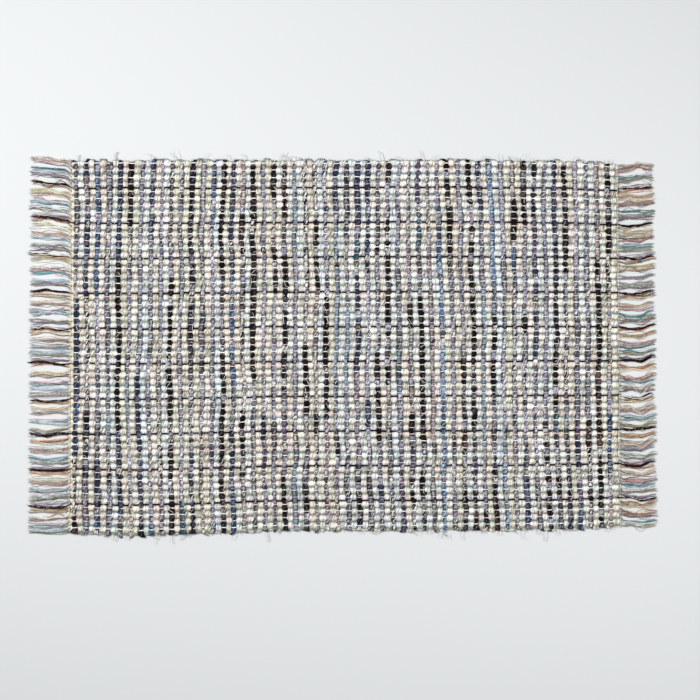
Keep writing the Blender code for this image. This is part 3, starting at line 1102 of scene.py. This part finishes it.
@dataclass
class End:
    """One end of the rug: the heading's twined yarns and the loose warp ends past it.

    The sweeps say how far sideways the loose ends lie near the root, half way and at the tip, at shares of
    the width from the lower edge. A heading yarn is its share of the way out, its radius and how creamy it
    is. The profiles run from a ply's root to its tip, or across its yarn.
    """
    ground: Ground
    name: str
    along: float
    outwards: int
    length: float
    sweeps: tuple[Values, ...]
    heading_yarns: tuple[tuple[float, float, float], ...]
    seed: int
    tone: float = 1.17
    fullness: float = 1.25
    warmth: Colour = (1.0, 1.0, 1.0)
    sweeps_at: Values = (0, 0.25, 0.5, 0.75, 1)
    heading_tone: float = 0.95
    heading_shade: float = 0.26
    heading_wave: Wave = (0.0003, 6)
    heading_stray: float = 0.25
    heading_height: float = 0.0025
    heading_lift: float = 1.20
    heading_swing: float = 0.4
    heading_swell: float = 0.30
    heading_uneven: float = 0.18
    heading_flatness: float = 0.95
    heading_sides: int = 6
    plies: int = 10
    rings: int = 11
    ply_radius: float = 0.00042
    ply_sides: int = 3
    ply_girths: Span = (0.8, 1.3)
    ply_taper: Profile = ((0, 0.15, 0.85, 1), (1.15, 1.0, 0.9, 0.5))
    root: float = 0.45
    root_rise: float = 0.22
    turns_between: Span = (0.25, 0.65)
    curls_between: Span = (0.6, 1)
    lean_profile: Profile = ((0, 0.12, 0.35, 1), (0, 0.55, 1, 0.9))
    lock_wave: Wave = (0.0024, 3)
    spread: float = 0.0023
    spread_growth: float = 6.0
    ply_wave: Wave = (0.75, 2)
    fan_profile: Profile = ((0, 0.2, 0.75, 1), (0.2, 0.8, 0.95, 1.4))
    wild_share: float = 0.11
    wild_black_share: float = 0.04
    wild_wave: Wave = (0.0070, 3)
    yarn_ragged: float = 0.0050
    ply_ragged: float = 0.0060
    along_wave: Wave = (0.0004, 2)
    lowest: float = 0.00070
    stack: float = 0.0027
    stack_profile: Profile = ((0, 1), (1, 0.6))
    lift_wave: Wave = (0.0005, 3)
    root_lift: float = 0.0022
    root_steepness: float = 5.0
    black_lift: float = 0.0012
    black_girth: float = 1.5
    black_spread: float = 0.5
    stray_share: float = 0.08
    white_share: float = 0.12
    ply_shades: Span = (0.72, 1.30)
    side_shade_profile: Profile = ((-1, -0.35, 1), (0.35, 1.0, 1.12))
    shadow_share: float = 0.09
    shadow: float = 0.24
    root_shade_profile: Profile = ((0, 0.15, 0.8, 1), (0.75, 0.95, 1.0, 1.12))
    brightest: float = 0.95
    bunch_sizes: tuple[int, ...] = (2, 3, 4)
    bunch_odds: Values = (0.45, 0.40, 0.15)
    bunch_pull: Span = (0.0020, 0.0034)

    def heading_x(self, across: Array, share: float) -> tuple[Array, Array]:
        """X and Y at a share of the way through the heading, outwards from the cloth."""
        x, y = self.ground.place(np.full(np.shape(across), self.along), across)
        return x + self.outwards * share * self.ground.heading, y

    def build_heading(self) -> Piece:
        """Model the heading: yarns that go over and under the warp in turn, the innermost as thick as a rag.

        Returns:
            The heading as one piece.
        """
        rng = np.random.default_rng(self.seed)
        warps = self.ground.warps
        step = np.arange(-0.5, warps - 0.4, 0.5)
        across = 1 - (step + 0.5) / warps
        beside = warp_colours(warps)[np.clip(np.round(step), 0, warps - 1).astype(int)]
        count = len(step)
        paths, radii, tints = [], [], []
        for number, (share, radius, creamy) in enumerate(self.heading_yarns):
            swing = np.cos(np.pi * (step + number))
            x, y = self.heading_x(across, share)
            x = x + drift(rng, 1, count, self.heading_wave)[0]
            x = x + self.heading_stray * radius * rng.uniform(-1, 1, count)
            z = max(radius * self.heading_lift, self.heading_height) + self.heading_swing * radius * swing
            paths.append(np.stack([x, y, z], -1))
            uneven = 1 + self.heading_uneven * rng.uniform(-1, 1, count)
            radii.append(radius * (1 + self.heading_swell * swing) * uneven)
            shade = 1 + self.heading_shade * rng.uniform(-1, 1, (count, 1))
            tints.append((np.array(HEADING) * creamy + beside * (1 - creamy)) * self.heading_tone * shade)
        paths, radii = np.array(paths), np.array(radii)
        points = sweep(paths, radii, radii * self.heading_flatness, self.heading_sides)
        tint = spread(np.array(tints), points)
        return Tubes(points, tint, tint).build(f"heading_{self.name}")

    def build_fringe(self) -> Piece:
        """Model the loose ends: each warp yarn opens into its plies, which wave and lean into bunches.

        Returns:
            The fringe as one piece.
        """
        rng = np.random.default_rng(self.seed + 1)
        warps = self.ground.warps
        share = np.linspace(0, 1, self.rings)
        warp = np.repeat(np.arange(warps), self.plies)
        total = len(warp)
        black = is_black(warp)[:, None]
        root_x, root_y = self.heading_x(1 - (warp + 0.5) / warps, self.root)
        side, beside = self.ply_sideways(rng, warp, share, black)
        ragged = rng.uniform(0, self.yarn_ragged, warps)[warp]
        length = self.length - ragged - rng.uniform(0, self.ply_ragged, total)
        reach = length[:, None] + (1 - self.root) * self.ground.heading
        x = root_x[:, None] + self.outwards * share * reach
        x = x + drift(rng, total, self.rings, self.along_wave) * share
        stack = rng.uniform(0, 1, (total, 1)) * self.stack
        low = self.lowest + stack * np.interp(share, *self.stack_profile)
        low = low + np.abs(drift(rng, total, self.rings, self.lift_wave))
        z = low + self.root_lift * np.clip(1 - share * self.root_steepness, 0, 1)
        z = z + np.where(black, self.black_lift, 0.0)
        radius = self.ply_radius * np.interp(share, *self.ply_taper)
        radius = radius * rng.uniform(*self.ply_girths, (total, 1))
        radius = radius * np.where(black, self.black_girth, 1.0)
        points = sweep(np.stack([x, root_y[:, None] + side, z], -1), radius, radius, self.ply_sides)
        colours = self.ply_colours(rng, warp, beside, black)
        # Painted shade darkens each ply near its root by the heading; towards the tip it turns lighter
        root_shade = np.interp(share, *self.root_shade_profile)[None, :, None]
        tint = spread(np.clip(colours[:, None] * root_shade, 0, self.brightest), points)
        return Tubes(points, tint, tint).build(f"loose_ends_{self.name}")

    def ply_sideways(self, rng: Random, warp: Array, share: Array,
                     black: Array) -> tuple[Array, Array]:
        """How far sideways each ply lies from its root.

        Args:
            rng: where the random values come from.
            warp: the warp that each ply belongs to.
            share: shares of the ply's length at its rings.
            black: which plies are black.

        Returns:
            The sideways distance at each ring, and each ply's place in its yarn, from -1 to 1.
        """
        total, rings = len(warp), self.rings
        rise = 1 - (1 - np.clip(share / self.root_rise, 0, 1)) ** 2
        turned = eased(self.turns_between, (0, 1), share)
        curled = eased(self.curls_between, (0, 1), share)
        across = 1 - (warp + 0.5) / self.ground.warps
        near, mid, tip = (eased(self.sweeps_at, values, across)[:, None] for values in self.sweeps)
        side = near * rise + (mid - near) * turned + (tip - mid) * curled
        side = side + self.bunch_lean(rng)[warp][:, None] * np.interp(share, *self.lean_profile)
        lock = drift(rng, self.ground.warps, rings, self.lock_wave)[warp]
        ply = drift(rng, total, rings, self.ply_wave) * self.spread
        beside = rng.uniform(-1, 1, (total, 1))
        fan = np.interp(share, *self.fan_profile)
        ply += beside * self.spread * fan * np.where(black, self.black_spread, 1.0)
        wild = rng.uniform(0, 1, (total, 1)) < np.where(black, self.wild_black_share, self.wild_share)
        ply = np.where(wild, drift(rng, total, rings, self.wild_wave), ply)
        return side + (lock + ply) * np.minimum(1, share * self.spread_growth), beside

    def ply_colours(self, rng: Random, warp: Array, beside: Array, black: Array) -> Array:
        """Colour of each ply: its yarn's own, with strays from yarns beside it, whites, painted shadows and
        lower-side shade.

        Args:
            rng: where the random values come from.
            warp: the warp that each ply belongs to.
            beside: each ply's place in its yarn, from -1 to 1.
            black: which plies are black.

        Returns:
            One colour for each ply.
        """
        total, warps = len(warp), self.ground.warps
        odds = (self.stray_share, 1 - 2 * self.stray_share, self.stray_share)
        stray = np.where(black[:, 0], 0, rng.choice([-1, 0, 1], total, p=odds))
        colours = warp_colours(warps, LOOSE_ORDER)[np.clip(warp + stray, 0, warps - 1)]
        grey = colours.mean(axis=1, keepdims=True)
        fuller = np.maximum(grey + self.fullness * (colours - grey), 0)
        colours = self.tone * fuller * np.array(self.warmth)
        white = rng.uniform(0, 1, total) < self.white_share
        colours = np.where(white[:, None], np.array(WARP_ORDER[WHITE_WARP]), colours)
        # Painted shade darkens the plies on each yarn's lower side, and painted light brightens those on its
        # upper side
        colours = colours * rng.uniform(*self.ply_shades, (total, 1)) * np.interp(beside, *self.side_shade_profile)
        shadowed = rng.uniform(0, 1, (total, 1)) < self.shadow_share
        return np.where(shadowed, self.shadow * colours, colours)

    def bunch_lean(self, rng: Random) -> Array:
        """How far each warp's end leans towards the middle of its bunch.

        Args:
            rng: where the sizes of the bunches come from.

        Returns:
            One sideways distance for each warp.
        """
        lean, start = np.zeros(self.ground.warps), 0
        while start < self.ground.warps:
            size = int(rng.choice(self.bunch_sizes, p=self.bunch_odds))
            stop = min(start + size, self.ground.warps)
            place = np.arange(start, stop)
            lean[place] = (place - (start + stop - 1) / 2) * rng.uniform(*self.bunch_pull)
            start = stop
        return lean


@dataclass
class Lint:
    """Short threads that stand loose on the rags and curl out past the woven edges."""
    ground: Ground
    on_top: int = 1900
    at_edges: int = 220
    rings: int = 7
    sides: int = 3
    radius: float = 0.00040
    edge_girth: float = 1.25
    girths: Span = (0.7, 1.3)
    taper: Profile = ((0, 0.1, 0.9, 1), (0.6, 1, 1, 0.5))
    clear_ends: float = 0.005
    clear_sides: float = 0.02
    edge_inset: float = 0.003
    turn_spread: float = 0.55
    bend_spread: float = 1.3
    bend_wave: Wave = (1.2, 3)
    lengths: Span = (0.006, 0.016)
    edge_length: float = 0.004
    edge_growth: float = 0.016
    top: float = 0.0079
    top_wave: Wave = (0.0003, 2)
    edge_height: float = 0.0045
    edge_wave: Wave = (0.0015, 3)
    odds: Values = (0.5, 0.22, 0.16, 0.12)
    seed: int = 31

    def build(self) -> Piece:
        """Model the threads.

        Returns:
            All of them as one piece.
        """
        rng = np.random.default_rng(self.seed)
        count, rings = self.on_top + self.at_edges, self.rings
        share = np.linspace(0, 1, rings)
        along = rng.uniform(self.clear_ends, 1 - self.clear_ends, count)
        across = rng.uniform(self.clear_sides, 1 - self.clear_sides, count)
        edge = np.arange(count) >= self.on_top
        upper = rng.uniform(0, 1, count) < 0.5
        across = np.where(edge, np.where(upper, 1 - self.edge_inset, self.edge_inset), across)
        x, y = self.ground.place(along, across)
        way = np.where(edge, np.where(upper, 0.5, -0.5) * np.pi, rng.choice([-0.5, 0.5], count) * np.pi)
        way = way + rng.normal(0, self.turn_spread, count)
        curled = self.edge_length + self.edge_growth * rng.uniform(0, 1, count) ** 3
        length = np.where(edge, curled, rng.uniform(*self.lengths, count))
        bend = rng.normal(0, self.bend_spread, count)[:, None] + drift(rng, count, rings, self.bend_wave)
        angle = way[:, None] + bend * share
        pace = (length / (rings - 1))[:, None]
        flat = self.top + drift(rng, count, rings, self.top_wave)
        drop = self.edge_height + drift(rng, count, rings, self.edge_wave)
        path = np.stack([
            x[:, None] + np.cumsum(np.cos(angle) * pace, axis=1),
            y[:, None] + np.cumsum(np.sin(angle) * pace, axis=1),
            np.where(edge[:, None], drop, flat),
        ], -1)
        thick = self.radius * rng.uniform(*self.girths, (count, 1)) * np.interp(share, *self.taper)
        thick = thick * np.where(edge, self.edge_girth, 1.0)[:, None]
        points = sweep(path, thick, thick, self.sides)
        colours = np.array(LINT_COLOURS)[rng.choice(len(LINT_COLOURS), count, p=self.odds)]
        tint = spread(colours[:, None], points)
        return Tubes(points, tint, tint).build("loose_lint")


@dataclass(frozen=True)
class Lamp:
    """A round soft lamp: its name, where it hangs, how wide it is and how strong, in watts."""
    name: str
    place: tuple[float, float, float]
    size: float
    energy: float


@dataclass
class Studio:
    """The pale floor, the soft light and the camera straight above the rug."""
    pixel: float = 0.001622
    picture: int = 700
    rug_pixel: Span = (345.2, 345.3)
    height: float = 3.2
    sensor: float = 36.0
    lamps: tuple[Lamp, ...] = (
        Lamp("key_lamp", (-1.12, 0.48, 1.80), 0.6, 40.0),
        Lamp("fill_lamp", (1.02, -0.10, 1.60), 0.9, 22.5),
    )
    lamp_colour: Colour = (1.0, 0.996, 0.988)
    room_colour: Colour = (0.93, 0.965, 1.0)
    room_strength: float = 0.24
    floor_size: float = 30.0
    floor_depth: float = 0.0002
    floor_colour: Colour = linear(203, 205, 206)
    floor_roughness: float = 0.95
    floor_gloss: float = 0.1

    def build_floor(self) -> None:
        """Lay a plain pale floor under the rug."""
        bpy.ops.object.select_all(action="DESELECT")
        bpy.ops.mesh.primitive_plane_add(size=self.floor_size, location=(0, 0, -self.floor_depth))
        floor = bpy.context.object
        floor.name = "floor"
        bpy.ops.object.transform_apply(location=True)
        bench = NodeBench("pale_floor")
        bench.shader.inputs["Base Color"].default_value = (*self.floor_colour, 1)
        bench.matt(self.floor_roughness, self.floor_gloss)
        floor.data.materials.append(bench.material)

    def build_light(self) -> None:
        """Hang a soft lamp at each side, the right one wider, and let a pale room fill the shadows."""
        for lamp in self.lamps:
            light = bpy.data.lights.new(lamp.name, "AREA")
            light.shape = "DISK"
            light.size = lamp.size
            light.energy = lamp.energy
            light.color = self.lamp_colour
            holder = bpy.data.objects.new(lamp.name, light)
            holder.location = lamp.place
            holder.rotation_euler = (-Vector(lamp.place)).to_track_quat("-Z", "Y").to_euler()
            bpy.context.scene.collection.objects.link(holder)
        room = bpy.data.worlds.new("pale_room")
        room.use_nodes = True
        background = room.node_tree.nodes["Background"]
        background.inputs["Color"].default_value = (*self.room_colour, 1)
        background.inputs["Strength"].default_value = self.room_strength
        bpy.context.scene.world = room
        bpy.context.scene.view_settings.view_transform = "Standard"

    def build_camera(self) -> None:
        """Hold the camera level over the rug, framed as the picture is."""
        camera = bpy.data.cameras.new("camera")
        camera.sensor_width = self.sensor
        camera.lens = self.sensor * self.height / (self.pixel * self.picture)
        eye = bpy.data.objects.new("camera", camera)
        middle = self.picture / 2
        low, high = CAD_BOX
        eye.location = (
            (low[0] + high[0]) / 2 + (middle - self.rug_pixel[0]) * self.pixel,
            (low[1] + high[1]) / 2 - (middle - self.rug_pixel[1]) * self.pixel,
            self.height,
        )
        bpy.context.scene.collection.objects.link(eye)
        bpy.context.scene.camera = eye


def rug_ends(ground: Ground) -> tuple[End, End]:
    """The left end and the right end.

    Args:
        ground: the rug's outline.

    Returns:
        Both ends, each with its own heading, lean and shade.
    """
    left = End(
        ground, "left", along=0.0, outwards=-1, length=0.0680, seed=41,
        sweeps=(
            (-0.003, -0.0045, 0.001, 0.006, 0.0085),
            (-0.005, -0.006, 0.002, 0.0085, 0.0115),
            (-0.004, -0.003, 0.001, 0.0085, 0.014),
        ),
        heading_yarns=((0.20, 0.0025, 0.9), (0.72, 0.0011, 0.75), (0.98, 0.0008, 0.6)),
    )
    right = End(
        ground, "right", along=1.0, outwards=1, length=0.0595, seed=51,
        sweeps=(
            (-0.003, -0.002, -0.001, -0.001, 0.003),
            (-0.0045, -0.0035, -0.002, -0.0005, 0.0055),
            (-0.002, 0.004, 0.004, 0.004, 0.006),
        ),
        heading_yarns=((0.20, 0.0012, 0.7), (0.52, 0.0009, 0.5)),
        tone=0.78, fullness=1.6, warmth=(1.07, 1.0, 0.95),
    )
    return left, right


def dress(piece: Piece, material: Material) -> None:
    """Give a piece its finish and fix it to the rug's one body.

    Args:
        piece: the finished piece.
        material: its material.
    """
    piece.data.materials.append(material)
    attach(piece, "root")
    LOG.info("%s: %d triangles", piece.name, sum(face.loop_total - 2 for face in piece.data.polygons))


def main() -> None:
    """Build the studio and the rug."""
    logging.basicConfig(level=logging.INFO, format="%(message)s")
    studio = Studio()
    studio.build_camera()
    studio.build_light()
    studio.build_floor()
    ground = Ground()
    rag_cotton, warp_cotton = RagFinish().material(), YarnFinish().material()
    weave = Weave(ground)
    rags = weave.build_rags()
    for piece in rags:
        dress(piece, rag_cotton)
        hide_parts("rug_body")
    warps = weave.build_warps()
    for piece in warps:
        dress(piece, warp_cotton)
    trimmings = []
    for end in rug_ends(ground):
        heading, fringe = end.build_heading(), end.build_fringe()
        dress(heading, warp_cotton)
        dress(fringe, warp_cotton)
        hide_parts(f"fringe_{end.name}")
        trimmings += [heading, fringe]
    lint = Lint(ground).build()
    dress(lint, warp_cotton)


if __name__ == "__main__":
    main()
